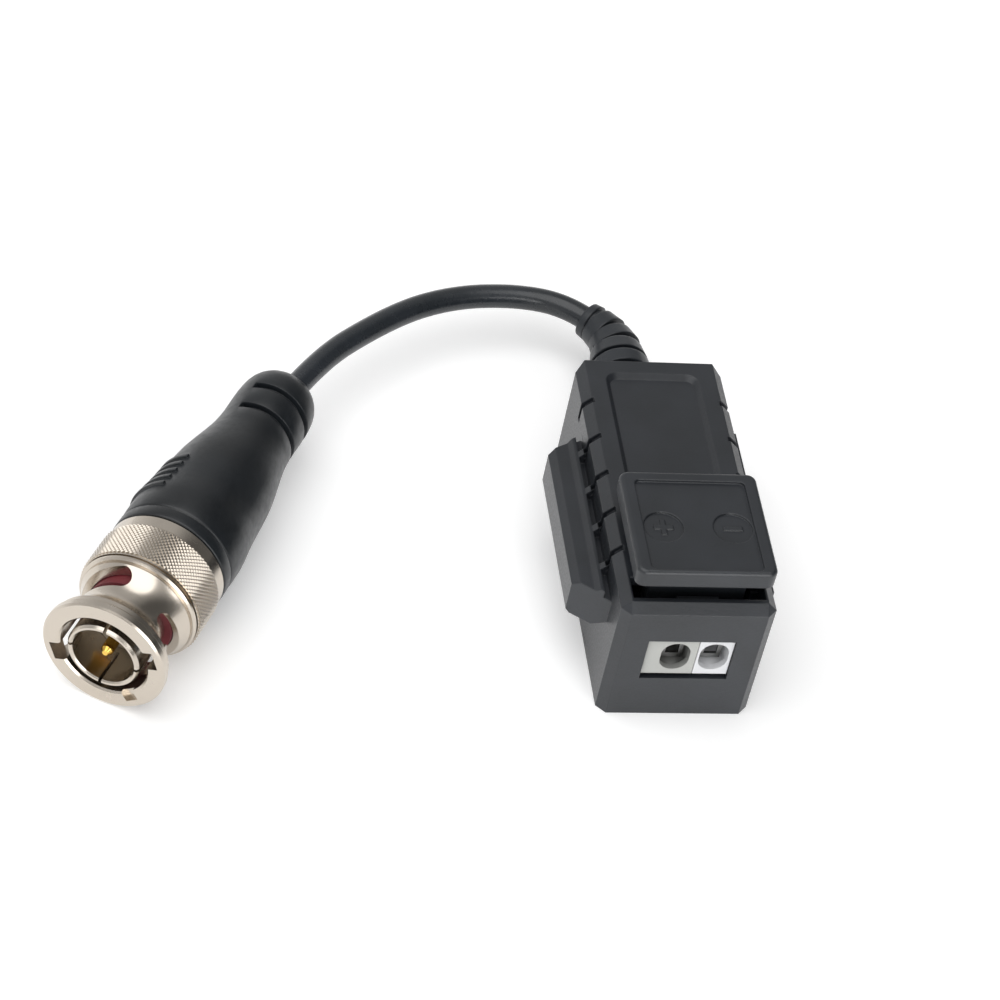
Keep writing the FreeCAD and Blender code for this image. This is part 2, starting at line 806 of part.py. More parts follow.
# Circuit board
board = box("board_blank", (-d.board_half, d.board_half), (d.board_front, d.board_rear),
            (d.board_low, board_top))
board_cutters = []
for side in (-1, 1):
    for along in (-6.6, 11.4):
        board_cutters.append(cylinder("peg_hole", 0.55, (side * 5.2, along, d.board_low - 0.2),
                                      d.board_thick + 0.4))
for middle in (d.wire_left, d.wire_right):
    board_cutters.append(cylinder("leg_hole", 0.55,
                                  (middle, d.leg_y - d.bar_thick / 2, d.board_low - 0.2),
                                  d.board_thick + 0.4))
circuit_board = cut("circuit_board", board, *board_cutters)

# Ferrite ring lying on the board with two windings
core_low = board_top + d.core_lift
core_high = core_low + d.core_height
ferrite_core = turned("ferrite_core", [
    (d.core_hole, 0.4), (d.core_hole + 0.4, ZERO), (d.core_radius - 0.4, ZERO),
    (d.core_radius, 0.4), (d.core_radius, d.core_height - 0.4),
    (d.core_radius - 0.4, d.core_height), (d.core_hole + 0.4, d.core_height),
    (d.core_hole, d.core_height - 0.4),
])
place(ferrite_core, (0.0, d.core_y, core_low))


def wire_solid(points, radius, sides=6):
    ways = [(end - start).normalize() for start, end in zip(points[:-1], points[1:])]
    normal = ways[0].cross(Z_AXIS if abs(ways[0].z) < 0.9 else X_AXIS).normalize()
    ring = []
    for index in range(sides):
        turn = FreeCAD.Rotation(ways[0], 360.0 * index / sides)
        ring.append(points[0] + turn.multVec(normal) * radius)
    rings = [ring]
    for index, way in enumerate(ways):
        plane = way if index == len(ways) - 1 else (way + ways[index + 1]).normalize()
        target = points[index + 1]
        ring = [spot + way * ((target - spot).dot(plane) / way.dot(plane)) for spot in ring]
        rings.append(ring)
    faces = [Part.Face(Part.makePolygon(rings[0] + [rings[0][0]])),
             Part.Face(Part.makePolygon(rings[-1] + [rings[-1][0]]))]
    for first, second in zip(rings[:-1], rings[1:]):
        for index in range(sides):
            follow = (index + 1) % sides
            corners = [first[index], first[follow], second[follow], second[index]]
            faces.append(Part.Face(Part.makePolygon(corners + [corners[0]])))
    skin = Part.makeShell(faces)
    skin.sewShape()
    solid = Part.makeSolid(skin)
    if solid.Volume < 0:
        solid.reverse()
    return solid


def winding_points(first_angle, turns, step):
    gap = num(d.wire_radius) + 0.06
    outer = num(d.core_radius) + gap
    inner = num(d.core_hole) - gap
    low = num(core_low) - gap
    high = num(core_high) + gap
    centre_y = num(d.core_y)
    found = []

    def spot(radius, angle, z):
        turn = math.radians(angle)
        return FreeCAD.Vector(radius * math.cos(turn), centre_y + radius * math.sin(turn), z)

    foot = outer + 0.3
    found.append(spot(foot, first_angle, num(board_top) + 0.02))
    found.append(spot(foot, first_angle, num(core_low) + 0.5))
    for index in range(turns):
        angle = first_angle + step * index
        found.append(spot(outer, angle, high))
        found.append(spot(inner, angle, high))
        found.append(spot(inner, angle, low))
        if index < turns - 1:
            found.append(spot(outer, angle + step, low))
    last = first_angle + step * turns
    found.append(spot(foot, last, low))
    found.append(spot(foot, last, num(board_top) + 0.02))
    return found


winding_left = free_shape("winding_left",
                          wire_solid(winding_points(118.0, 6, 20.0), num(d.wire_radius)))
winding_right = free_shape("winding_right",
                           wire_solid(winding_points(-62.0, 6, 20.0), num(d.wire_radius)))

# Small board parts
suppressor_body = box("suppressor_case", (-1.9, 1.9), (-6.9, -4.6), (board_top + 0.15, 6.9))
suppressor_case = soften("suppressor_rounded", suppressor_body, 0.2,
                         lambda edge: near(edge.BoundBox.ZMin, 6.9))
surge_suppressor = fuse("surge_suppressor", suppressor_case,
                        box("suppressor_lead_a", (-2.7, -1.7), (-6.4, -5.1),
                            (board_top + 0.02, board_top + 0.4)),
                        box("suppressor_lead_b", (1.7, 2.7), (-6.4, -5.1),
                            (board_top + 0.02, board_top + 0.4)))
chip_capacitor = fuse("chip_capacitor",
                      box("capacitor_middle", (-4.6, -3.2), (7.0, 8.2),
                          (board_top + 0.03, 6.1)),
                      box("capacitor_end_a", (-4.95, -4.55), (6.95, 8.25),
                          (board_top + 0.02, 6.15)),
                      box("capacitor_end_b", (-3.25, -2.85), (6.95, 8.25),
                          (board_top + 0.02, 6.15)))
chip_resistor = fuse("chip_resistor",
                     box("resistor_middle", (3.2, 4.6), (7.0, 8.2),
                         (board_top + 0.03, 5.55)),
                     box("resistor_end_a", (2.85, 3.25), (6.95, 8.25),
                         (board_top + 0.02, 5.6)),
                     box("resistor_end_b", (4.55, 4.95), (6.95, 8.25),
                         (board_top + 0.02, 5.6)))


# Lead: straight runs joined by tangent arcs
def run_wire(points, radii):
    edges = []
    last = points[0]
    for index in range(1, len(points) - 1):
        here = points[index]
        first = points[index - 1] - here
        second = points[index + 1] - here
        first.normalize()
        second.normalize()
        half = (math.pi - first.getAngle(second)) / 2.0
        reach = radii[index - 1] * math.tan(half)
        enter = here + first * reach
        leave = here + second * reach
        inward = first + second
        inward.normalize()
        depth = radii[index - 1] * (1.0 / math.cos(half) - 1.0)
        middle = here + inward * depth
        edges.append(Part.LineSegment(last, enter).toShape())
        edges.append(Part.Arc(enter, middle, leave).toShape())
        last = leave
    edges.append(Part.LineSegment(last, points[-1]).toShape())
    return Part.Wire(edges)


def run_radii(points):
    radii = []
    for index in range(1, len(points) - 1):
        first = points[index] - points[index - 1]
        second = points[index + 1] - points[index]
        turn = first.getAngle(second)
        radii.append(0.45 * min(first.Length, second.Length) / math.tan(turn / 2.0))
    return radii


def tube(wire, radius):
    start = wire.Edges[0].Vertexes[0].Point
    ahead = wire.Edges[0].tangentAt(wire.Edges[0].FirstParameter)
    ring = Part.Wire([Part.makeCircle(radius, start, ahead)])
    return wire.makePipeShell([ring], True, True)


plug_turn = math.radians(num(d.plug_angle))
plug_axis = FreeCAD.Vector(math.sin(plug_turn), math.cos(plug_turn), 0)
plug_side = FreeCAD.Vector(math.cos(plug_turn), -math.sin(plug_turn), 0)
plug_base = vector(d.plug_x, d.plug_y, d.rim_radius)


def on_plug_axis(along):
    return plug_base + plug_axis * along


bend_turn = math.radians(num(d.bend_angle))
bend_way = FreeCAD.Vector(-math.sin(bend_turn), math.cos(bend_turn), 0)
bend_point = vector(0, d.bend_y, d.relief_z)
lead_points = [
    bend_point - Y_AXIS * num(d.bend_run),
    bend_point,
    bend_point + bend_way * num(d.bend_run),
    FreeCAD.Vector(-10.6, 39.75, 6.35),
    FreeCAD.Vector(-18.4, 38.9, 6.5),
    FreeCAD.Vector(-26.0, 35.1, 6.7),
    on_plug_axis(48.8),
    on_plug_axis(34.4),
]
lead_radii = run_radii(lead_points)
lead_wire = run_wire(lead_points, lead_radii)
cable = free_shape("cable", tube(lead_wire, num(d.coax_radius)))
print("lead bend radii mm:", [round(radius, 1) for radius in lead_radii])
print("lead length mm: %.1f" % lead_wire.Length)
print("lead volume %.2f, section x length %.2f" % (
    cable.Shape.Volume, math.pi * num(d.coax_radius) ** 2 * lead_wire.Length))

# Coax end inside the relief and the housing
tail_front = 15.4
coax_tail = fuse(
    "coax_tail",
    cylinder("tail_jacket", d.coax_radius, (0.0, tail_front, d.relief_z),
             d.bend_y - d.bend_run - d.fit_gap - tail_front, TO_Y),
    cylinder("tail_core", 0.75, (0.0, tail_front - 1.6, d.relief_z), 1.7, TO_Y),
    free_shape("tail_inner", wire_solid([
        FreeCAD.Vector(0, tail_front - 1.5, num(d.relief_z)),
        FreeCAD.Vector(0, tail_front - 2.7, num(d.relief_z)),
        FreeCAD.Vector(0, tail_front - 3.6, num(board_top) + 0.24)], 0.22)),
)

# Strain relief: core tube with placed ribs that follow the bend
relief_radius_steps = [(0.0, num(d.relief_root)), (9.6, num(d.relief_mid)),
                       (14.3, num(d.relief_late)), (18.6, num(d.relief_tip))]


def relief_radius(along):
    for (start, first), (end, second) in zip(relief_radius_steps[:-1], relief_radius_steps[1:]):
        if along <= end:
            return first + (second - first) * (along - start) / (end - start)
    return relief_radius_steps[-1][1]


bend_radius = lead_radii[0]
bend_reach = bend_radius * math.tan(bend_turn / 2.0)
relief_start = num(half_length) + 0.05
bend_start = num(d.bend_y) - bend_reach


def relief_spot(along):
    straight = bend_start - relief_start
    if along <= straight:
        return FreeCAD.Vector(0, relief_start + along, num(d.relief_z)), Y_AXIS
    angle = (along - straight) / bend_radius
    if angle <= bend_turn:
        point = FreeCAD.Vector(-bend_radius * (1 - math.cos(angle)),
                               bend_start + bend_radius * math.sin(angle), num(d.relief_z))
        return point, FreeCAD.Vector(-math.sin(angle), math.cos(angle), 0)
    rest = along - straight - bend_radius * bend_turn
    point, way = relief_spot(straight + bend_radius * bend_turn)
    return point + bend_way * rest, bend_way


relief_length = bend_start - relief_start + bend_radius * bend_turn + 0.7
relief_end, relief_way = relief_spot(relief_length)
bend_first = bend_start - relief_start
bend_last = bend_first + bend_radius * bend_turn
bend_line = [relief_spot(bend_first + (bend_last - bend_first) * step / 8.0)[0]
             for step in range(9)]
relief_path = [vector(0, inner_rear - 1.6, d.relief_z)] + bend_line + [relief_end]
bore_path = [vector(0, inner_rear - 2.2, d.relief_z)] + bend_line + [relief_end + bend_way * 1.0]
core_radius = num(d.relief_tip) - 0.12
relief_items = [
    free_shape("relief_core", wire_solid(relief_path, core_radius, 24)),
    cylinder("relief_collar", 4.2, (0.0, inner_rear - 1.55, d.relief_z), 1.5, TO_Y),
    cylinder("relief_neck", d.relief_hole, (0.0, inner_rear - 0.5, d.relief_z),
             d.rear_wall + 0.7, TO_Y),
]
rib_count = int(relief_length / num(d.rib_pitch)) + 1
for index in range(rib_count):
    start = index * num(d.rib_pitch)
    length = min(num(d.rib_length), relief_length - start)
    if length < 0.4:
        continue
    point, way = relief_spot(start)
    centre_point, centre_way = relief_spot(start + length / 2.0)
    turn = FreeCAD.Rotation(Z_AXIS, centre_way)
    origin = centre_point - centre_way * (length / 2.0)
    relief_items.append(cone("relief_rib", relief_radius(start),
                             relief_radius(start + length), tuple(origin), length, turn))
    web_middle, web_way = relief_spot(start + num(d.rib_pitch) / 2.0)
    reach = relief_radius(start + num(d.rib_pitch)) - 0.1
    if start + num(d.rib_pitch) < relief_length:
        web = Part.makeBox(num(d.rib_pitch), reach, 1.6, FreeCAD.Vector(0, 0, -0.8))
        web.Placement = FreeCAD.Placement(
            web_middle - web_way * (num(d.rib_pitch) / 2.0),
            FreeCAD.Rotation(web_way, Z_AXIS.cross(web_way), Z_AXIS, "XZY"))
        relief_items.append(free_shape("relief_web", web))
relief_sum = fuse("relief_sum", *relief_items)
strain_relief = cut("strain_relief", relief_sum,
                    free_shape("relief_bore", wire_solid(
                        bore_path, num(d.coax_radius + d.coax_gap) + 0.02, 18)))

# Plug pieces are turned about their own Z axis and then laid on the plug line
PLUG_TURN = FreeCAD.Rotation(Z_AXIS, plug_side, plug_axis, "ZXY")


def lay_on_plug_line(item):
    item.Placement = FreeCAD.Placement(plug_base, PLUG_TURN)
    item.setExpression("Placement.Base.x", d.plug_x.text)
    item.setExpression("Placement.Base.y", d.plug_y.text)
    item.setExpression("Placement.Base.z", d.rim_radius.text)
    return item


# plug body: slit ferrule, collar, shank and cable stem in one turned piece
ferrule_bore = d.ferrule_radius - d.ferrule_wall
body_blank = turned("plug_body_blank", [
    (ferrule_bore, d.ferrule_front + 0.15), (ferrule_bore + 0.15, d.ferrule_front),
    (d.ferrule_radius - 0.2, d.ferrule_front), (d.ferrule_radius, d.ferrule_front + 0.3),
    (d.ferrule_radius, d.gasket_start), (d.ferrule_radius - d.gasket_seat, d.gasket_start),
    (d.ferrule_radius - d.gasket_seat, d.collar_start), (d.collar_radius, d.collar_start),
    (d.collar_radius, d.collar_end), (d.shank_radius, d.collar_end),
    (d.shank_radius, d.shank_end), (d.stem_radius, d.shank_end),
    (d.stem_radius, d.stem_end), (0.9, d.stem_end), (0.9, d.insulator_end + 0.1),
    (d.insulator_radius + 0.03, d.insulator_end + 0.1),
    (d.insulator_radius + 0.03, d.insulator_front + 0.6),
    (ferrule_bore, d.insulator_front + 0.6),
])
slits = [
    box("slit_across", (-5.0, 5.0), (-d.slit_width / 2, d.slit_width / 2),
        (d.ferrule_front - 0.5, d.slit_end)),
    box("slit_along", (-d.slit_width / 2, d.slit_width / 2), (-5.0, 5.0),
        (d.ferrule_front - 0.5, d.slit_end)),
]
plug_body = lay_on_plug_line(cut("plug_body", body_blank, *slits))

plug_insulator = lay_on_plug_line(turned("plug_insulator", [
    (d.pin_back + 0.03, d.insulator_front), (ferrule_bore - 0.03, d.insulator_front),
    (ferrule_bore - 0.03, d.insulator_front + 0.55),
    (d.insulator_radius, d.insulator_front + 0.55), (d.insulator_radius, d.insulator_end),
    (d.pin_back + 0.03, d.insulator_end),
]))

centre_pin = lay_on_plug_line(turned("centre_pin", [
    (ZERO, d.pin_front), (0.3, d.pin_front), (d.pin_radius - 0.05, d.pin_front + 0.45),
    (d.pin_radius, d.pin_front + 0.8), (d.pin_radius, d.insulator_front - 0.05),
    (d.pin_back, d.insulator_front - 0.05), (d.pin_back, d.insulator_end),
    (d.pin_radius, d.insulator_end), (d.pin_radius, d.insulator_end + 2.0),
    (ZERO, d.insulator_end + 2.0),
]))

plug_gasket = lay_on_plug_line(turned("plug_gasket", [
    (d.ferrule_radius - d.gasket_seat + 0.02, d.gasket_start + 0.05),
    (4.8, d.gasket_start + 0.05), (4.8, d.collar_start - 0.02),
    (d.ferrule_radius - d.gasket_seat + 0.02, d.collar_start - 0.02),
]))

# coupling sleeve
groove_start = d.collar_end + 2.3
groove_end = groove_start + 0.8
sleeve_blank = turned("sleeve_blank", [
    (d.bore_radius, d.rim_face + 0.2), (d.bore_radius + 0.2, d.rim_face),
    (d.rim_radius - 0.2, d.rim_face), (d.rim_radius, d.rim_face + 0.2),
    (d.rim_radius, d.rim_length), (d.skirt_radius, d.rim_length + 0.4),
    (d.skirt_radius, d.grip_start - 0.9), (d.skirt_radius - 0.3, d.grip_start - 0.9),
    (d.skirt_radius - 0.3, d.grip_start - 0.6), (d.grip_radius - 0.1, d.grip_start - 0.6),
    (d.grip_radius - 0.1, d.grip_start - 0.15), (d.grip_radius - 0.3, d.grip_start - 0.15),
    (d.grip_radius - 0.3, d.grip_start), (d.grip_radius, d.grip_start),
    (d.grip_radius, d.grip_end), (d.band_radius, d.grip_end + 0.15),
    (d.band_radius, d.sleeve_length - 0.15), (d.band_radius - 0.15, d.sleeve_length),
    (d.bay_radius, d.sleeve_length), (d.bay_radius, groove_end),
    (d.bay_radius + 0.45, groove_end), (d.bay_radius + 0.45, groove_start),
    (d.bay_radius, groove_start), (d.bay_radius, d.bay_start), (d.bore_radius, d.bay_start),
])
sleeve_cutters = []
for label, size, low, high in (("neck_front", d.front_round, -180.0, 0.0),
                               ("neck_rear", d.rear_round, 0.0, 180.0)):
    ring = doc.addObject("Part::Torus", label)
    bind(ring, "Radius1", d.neck_radius + size)
    bind(ring, "Radius2", size)
    ring.Angle1 = low
    ring.Angle2 = high
    place(ring, (0.0, 0.0, d.neck_centre))
    sleeve_cutters.append(ring)


# block that points outward from the axis at an angle
def radial_block(angle, width, inner, outer, low, high):
    block = Part.makeBox(num(outer - inner), num(width), num(high - low),
                         vector(inner, -width / 2, low))
    block.rotate(FreeCAD.Vector(0, 0, 0), Z_AXIS, angle)
    return block


for index in range(2):
    sleeve_cutters.append(free_shape("lug_entry", radial_block(
        num(d.lug_angle) + 180 * index, d.lug_width, d.bore_radius - 0.6,
        d.bore_radius + d.lug_depth, d.rim_face - 0.5, d.spiral_start + 0.6)))
sleeve_cutters.append(free_shape("face_mark", radial_block(
    num(d.mark_angle), d.mark_width, d.bore_radius - 0.2, d.rim_radius - 0.9,
    d.rim_face - 0.3, d.rim_face + d.mark_depth)))


# spiral slots in which the two lugs of the jack travel
def spiral_cutter(start_angle):
    sweep = num(d.spiral_sweep)
    rise = num(d.spiral_end - d.spiral_start)
    half = num(d.spiral_width) / 2.0
    inner = num(d.bore_radius) - 0.7
    outer = num(d.rim_radius) + 0.5
    frames = []
    for step in range(11):
        way = FreeCAD.Rotation(Z_AXIS, sweep * step / 10.0).multVec(X_AXIS)
        middle = Z_AXIS * (rise * step / 10.0)
        corners = [way * inner + middle - Z_AXIS * half, way * outer + middle - Z_AXIS * half,
                   way * outer + middle + Z_AXIS * half, way * inner + middle + Z_AXIS * half]
        frames.append(Part.makePolygon(corners + [corners[0]]))
    band = Part.makeLoft(frames, True, True)
    ends = []
    for angle, height in ((0.0, 0.0), (sweep, rise)):
        way = FreeCAD.Rotation(Z_AXIS, angle).multVec(X_AXIS)
        ends.append(Part.makeCylinder(half, outer - inner, way * inner + Z_AXIS * height, way))
    shape = band.multiFuse(ends)
    shape.Placement = FreeCAD.Placement(FreeCAD.Vector(0, 0, num(d.spiral_start)),
                                        FreeCAD.Rotation(Z_AXIS, start_angle))
    return shape


for index in range(2):
    sleeve_cutters.append(free_shape("spiral_slot", spiral_cutter(num(d.spiral_angle) + 180 * index)))
coupling_sleeve = lay_on_plug_line(cut("coupling_sleeve", sleeve_blank, *sleeve_cutters))


# wave washer, flat washer and split ring behind the collar
def wave_ring(inner, outer, thick, middle, height, waves, steps):
    top = []
    bottom = []
    for step in range(steps):
        angle = 2 * math.pi * step / steps
        lift = middle + height * math.cos(waves * angle)
        way = FreeCAD.Vector(math.cos(angle), math.sin(angle), 0)
        top.append((way * inner + Z_AXIS * (lift + thick / 2), way * outer + Z_AXIS * (lift + thick / 2)))
        bottom.append((way * inner + Z_AXIS * (lift - thick / 2),
                       way * outer + Z_AXIS * (lift - thick / 2)))

    def closed_curve(points):
        curve = Part.BSplineCurve()
        curve.interpolate(points, PeriodicFlag=True)
        return Part.Wire([curve.toShape()])

    rings = [closed_curve([p[0] for p in bottom]), closed_curve([p[1] for p in bottom]),
             closed_curve([p[1] for p in top]), closed_curve([p[0] for p in top])]
    faces = []
    for first, second in zip(rings, rings[1:] + rings[:1]):
        faces += Part.makeRuledSurface(first, second).Faces
    shell_of = Part.makeShell(faces)
    shell_of.sewShape()
    solid = Part.makeSolid(shell_of)
    if solid.Volume < 0:
        solid.reverse()
    return solid


wave_middle = num(d.collar_end) + 0.85
wave_washer = lay_on_plug_line(free_shape("wave_washer", wave_ring(
    num(d.washer_inner), num(d.washer_outer) - 0.15, 0.3, wave_middle, 0.62, 3, 36)))
flat_washer = lay_on_plug_line(turned("flat_washer", [
    (d.washer_inner - 0.1, d.collar_end + 1.75), (d.washer_outer, d.collar_end + 1.75),
    (d.washer_outer, d.collar_end + 2.15), (d.washer_inner - 0.1, d.collar_end + 2.15),
]))
ring_blank = turned("ring_blank", [
    (d.washer_inner + 0.3, groove_start + 0.05), (d.bay_radius + 0.38, groove_start + 0.05),
    (d.bay_radius + 0.38, groove_end - 0.05), (d.washer_inner + 0.3, groove_end - 0.05),
])
retaining_ring = lay_on_plug_line(cut("retaining_ring", ring_blank,
                                      box("ring_gap", (3.0, 7.0), (-0.5, 0.5), (9.0, 15.0))))

# crimp ferrule over the stem and the jacket
crimp_ferrule = lay_on_plug_line(turned("crimp_ferrule", [
    (d.stem_radius + 0.03, d.crimp_start), (d.crimp_radius, d.crimp_start),
    (d.crimp_radius, d.crimp_end), (d.coax_radius + 0.03, d.crimp_end),
    (d.coax_radius + 0.03, d.stem_end + 3.0), (d.stem_radius + 0.03, d.stem_end + 2.0),
]))

# moulded boot: tapered grip, lip, ridges and two flex grooves
boot_outline = [
    (14.45, 6.55), (14.65, 6.7), (16.0, 6.7), (16.0, 6.55), (16.4, 6.65), (18.8, 6.72),
    (22.2, 6.32), (26.4, 6.0), (28.7, 5.75), (31.7, 5.12), (34.4, 4.62), (36.5, 4.48),
    (40.0, 4.5), (42.0, 4.38), (43.2, 4.0), (44.2, 3.3), (44.8, 2.45), (45.0, 1.5),
]
boot_points = [(d.shank_radius + 0.05, d.boot_front)]
for along, radius in boot_outline[:-1]:
    boot_points.append((radius, along))
boot_points += [
    (2.1, d.boot_end), (d.coax_radius + 0.38, d.boot_end),
    (d.coax_radius + 0.06, d.boot_end - 4.5), (d.coax_radius + 0.06, d.crimp_end + 0.1), (d.crimp_radius + 0.05, d.crimp_end + 0.1),
    (d.crimp_radius + 0.05, d.shank_end + 0.1), (d.shank_radius + 0.05, d.shank_end + 0.1),
]
boot_blank = turned("boot_blank", boot_points)


def ring_part(inner, outer, low, high, start_angle, sweep):
    ring = Part.makeCylinder(outer, high - low, FreeCAD.Vector(0, 0, low), Z_AXIS, sweep)
    ring = ring.cut(Part.makeCylinder(inner, high - low + 0.2, FreeCAD.Vector(0, 0, low - 0.1)))
    ring.Placement = FreeCAD.Placement(FreeCAD.Vector(0, 0, 0),
                                       FreeCAD.Rotation(Z_AXIS, start_angle))
    return ring


boot_grooves = []
for along in (35.9, 39.4):
    boot_grooves.append(free_shape("flex_groove", ring_part(3.7, 6.0, along, along + 0.9,
                                                            -28.0, 296.0)))
boot_ridges = []
for along, radius in ((19.35, 6.98), (20.7, 6.8), (22.0, 6.62), (23.3, 6.48), (24.6, 6.36)):
    boot_ridges.append(free_shape("grip_ridge", ring_part(5.0, radius, along, along + 0.55,
                                                          -82.0, 54.0)))
boot_sum = fuse("boot_sum", boot_blank, *boot_ridges)
plug_boot = lay_on_plug_line(cut("plug_boot", boot_sum, *boot_grooves))

# Check and write every piece
nodes = [
    housing_shell, bottom_cover, press_key, key_pivot_pin, circuit_board, ferrite_core,
    winding_left, winding_right, surge_suppressor, chip_capacitor, chip_resistor,
    coax_tail, strain_relief, cable, plug_boot, plug_body, plug_insulator, centre_pin,
    plug_gasket, coupling_sleeve, wave_washer, flat_washer, retaining_ring, crimp_ferrule,
] + terminal_nodes

doc.recompute()
for item in doc.Objects:
    for state in ("Invalid", "Error"):
        if state in item.State:
            raise RuntimeError("%s is %s" % (item.Label, state))
os.makedirs("parts", exist_ok=True)
for item in nodes:
    shape = item.Shape
    if shape.isNull() or not shape.isValid() or len(shape.Solids) != 1:
        raise RuntimeError("bad shape %s: %d solids" % (item.Label, len(shape.Solids)))
    shape.exportStep("parts/%s.step" % item.Label)
    print("%-24s %9.2f mm3" % (item.Label, shape.Volume))
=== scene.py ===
# %% [markdown]
# A video balun, seen from the front, the left and above: a small black
# housing with a press key over two wire terminals, a ribbed strain relief,
# a short coax lead, and a bayonet plug with a knurled coupling sleeve.
# The hard parts come from the CAD model. This lesson gives them their
# finishes and adds what is easier to model by hand.

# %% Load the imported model
import math

import bpy
from mathutils import Matrix, Vector


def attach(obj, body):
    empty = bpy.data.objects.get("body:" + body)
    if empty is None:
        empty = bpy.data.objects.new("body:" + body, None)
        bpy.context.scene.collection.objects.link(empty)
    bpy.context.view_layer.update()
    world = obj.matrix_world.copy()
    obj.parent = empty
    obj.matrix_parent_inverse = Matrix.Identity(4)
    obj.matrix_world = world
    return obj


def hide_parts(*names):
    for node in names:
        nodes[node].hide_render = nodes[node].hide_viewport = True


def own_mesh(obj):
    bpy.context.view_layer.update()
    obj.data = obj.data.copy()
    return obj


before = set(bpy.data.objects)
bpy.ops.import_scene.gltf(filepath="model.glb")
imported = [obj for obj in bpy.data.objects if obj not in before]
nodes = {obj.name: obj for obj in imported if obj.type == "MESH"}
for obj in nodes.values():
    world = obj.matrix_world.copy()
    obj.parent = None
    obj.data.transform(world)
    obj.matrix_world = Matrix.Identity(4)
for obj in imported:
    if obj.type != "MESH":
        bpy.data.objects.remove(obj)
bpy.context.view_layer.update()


# %% [markdown]
# The plug lies on its own slanted line on the table. What is round about it
# is modelled upright at the origin, because that is easier, and then laid on
# the line once: up becomes the plug's length.

# %% The plug's line
MM = 0.001
plug_angle = math.radians(28.82)
plug_start = Vector((-60.47, -17.27, 6.9)) * MM
plug_along = Vector((math.sin(plug_angle), math.cos(plug_angle), 0.0))
plug_side = Vector((math.cos(plug_angle), -math.sin(plug_angle), 0.0))
plug_up = Vector((0.0, 0.0, 1.0))
plug_turn = Matrix((plug_up, plug_side, plug_along)).transposed().to_4x4()
plug_place = Matrix.Translation(plug_start) @ plug_turn
print("plug points along", [round(v, 3) for v in plug_along])

# %% [markdown]
# The camera is a long lens, high on the left and turned a little about its
# own line, as somebody holds it over a table. A small shift of the lens puts
# the balun where it is in the picture.

# %% Camera
azimuth = math.radians(-14.923)
elevation = math.radians(44.045)
roll = math.radians(11.965)
toward = Vector((math.cos(elevation) * math.sin(azimuth),
                 -math.cos(elevation) * math.cos(azimuth), math.sin(elevation)))
level = Vector((math.cos(azimuth), math.sin(azimuth), 0.0))
upright = toward.cross(level)
right = level * math.cos(roll) + upright * math.sin(roll)
above = upright * math.cos(roll) - level * math.sin(roll)
camera_data = bpy.data.cameras.new("long_lens")
camera_data.lens = 113.85
camera_data.sensor_width = 36.0
camera_data.shift_x = 0.0287
camera_data.shift_y = -0.0438
camera_data.clip_start = 10 * MM
camera = bpy.data.objects.new("long_lens", camera_data)
bpy.context.collection.objects.link(camera)
camera_place = Vector((-83.7, -229.6, 249.2)) * MM
camera_turn = Matrix((right, above, toward)).transposed().to_4x4()
camera.matrix_world = Matrix.Translation(camera_place) @ camera_turn
bpy.context.scene.camera = camera
print("lens", camera_data.lens, "mm, from", round(camera_place.length / MM), "mm away")

# %% [markdown]
# Colours are written as sRGB hex, as a paint chart gives them. The shaders
# want linear numbers, so one function turns them. One more function adds a
# node: a value that is another node's socket is linked, any other is set.

# %% Colours and nodes


def linear(hex_colour):
    channels = []
    for start in (1, 3, 5):
        value = int(hex_colour[start:start + 2], 16) / 255
        channels.append(value / 12.92 if value <= 0.04045 else ((value + 0.055) / 1.055) ** 2.4)
    return (*channels, 1.0)


def add_node(owner, kind, inputs=None, **settings):
    node = owner.node_tree.nodes.new(kind)
    for name, value in settings.items():
        setattr(node, name, value)
    for name, value in (inputs or {}).items():
        if isinstance(value, bpy.types.NodeSocket):
            owner.node_tree.links.new(value, node.inputs[name])
        else:
            node.inputs[name].default_value = value
    return node


def start_material(name, colour, metallic, roughness):
    material = bpy.data.materials.new(name)
    material.use_nodes = True
    material.diffuse_color = linear(colour)
    shader = material.node_tree.nodes["Principled BSDF"]
    shader.inputs["Base Color"].default_value = linear(colour)
    shader.inputs["Metallic"].default_value = metallic
    shader.inputs["Roughness"].default_value = roughness
    return material, shader


def join_up(material, output, shader, name):
    material.node_tree.links.new(output, shader.inputs[name])


def finish_nodes(material, *names):
    for name in names:
        mesh = nodes[name].data
        mesh.materials.clear()
        mesh.materials.append(material)
    print(material.name, "on", ", ".join(names))


# %% [markdown]
# Moulded plastic takes its skin from the mould. A spark-eroded mould leaves
# an even, matt grain of about a quarter of a millimetre. The grain is a fine
# noise that drives both bump and roughness, so that it glitters at a low
# angle. A slow, wide noise makes the colour vary a little, as it does where
# the melt cooled unevenly. No moulded edge is knife-sharp, so a bevel node
# bends the light round each edge as a small radius would. Where a deep hole
# is given a shade depth, an occlusion node darkens the colour inside it:
# that is painted shade, added to what the light leaves there.

# %% Moulded plastic
cloud_size = 7 * MM


